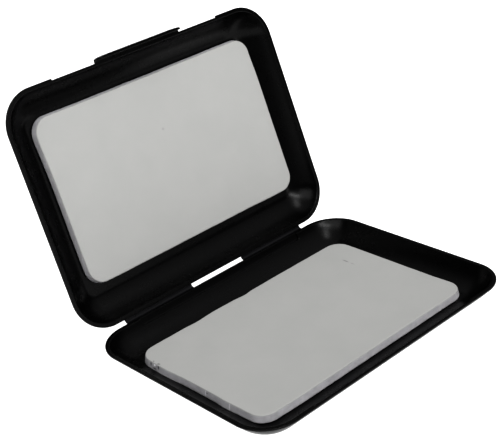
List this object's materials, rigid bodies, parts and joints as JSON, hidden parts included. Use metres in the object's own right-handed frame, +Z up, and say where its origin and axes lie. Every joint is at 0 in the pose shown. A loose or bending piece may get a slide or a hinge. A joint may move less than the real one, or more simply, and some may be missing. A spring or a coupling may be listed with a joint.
{
  "type": "ink pad",
  "caption": "Shallow clamshell case with a moulded living hinge and a latch tab, holding one flat foam pad in the base and one in the lid.",
  "frame": {"origin": "centre of the flat underside of the base", "axes": "+X along the hinge, +Y from the latch edge towards the hinge edge, +Z up out of the open base"},
  "size_m": [0.13, 0.1306, 0.1012],
  "materials": {
    "case": "satin moulded polypropylene, near black",
    "foam": "dry fine-celled white foam, matte",
    "adhesive": "thin double-sided adhesive film"
  },
  "bodies": {
    "base": {"base_tray": "case", "base_adhesive": "adhesive", "base_pad": "foam", "hinge_web_left": "case", "hinge_web_right": "case"},
    "lid": {"lid_tray": "case", "lid_adhesive": "adhesive", "lid_pad": "foam"}
  },
  "joints": [
    {"name": "lid_hinge", "type": "hinge", "parent": "base", "child": "lid", "pos_m": [0, 0.04802, 0.00855], "axis": [-1, 0, 0], "range_deg": [-108, 64], "deforming": ["hinge_web_left", "hinge_web_right"]}
  ]
}
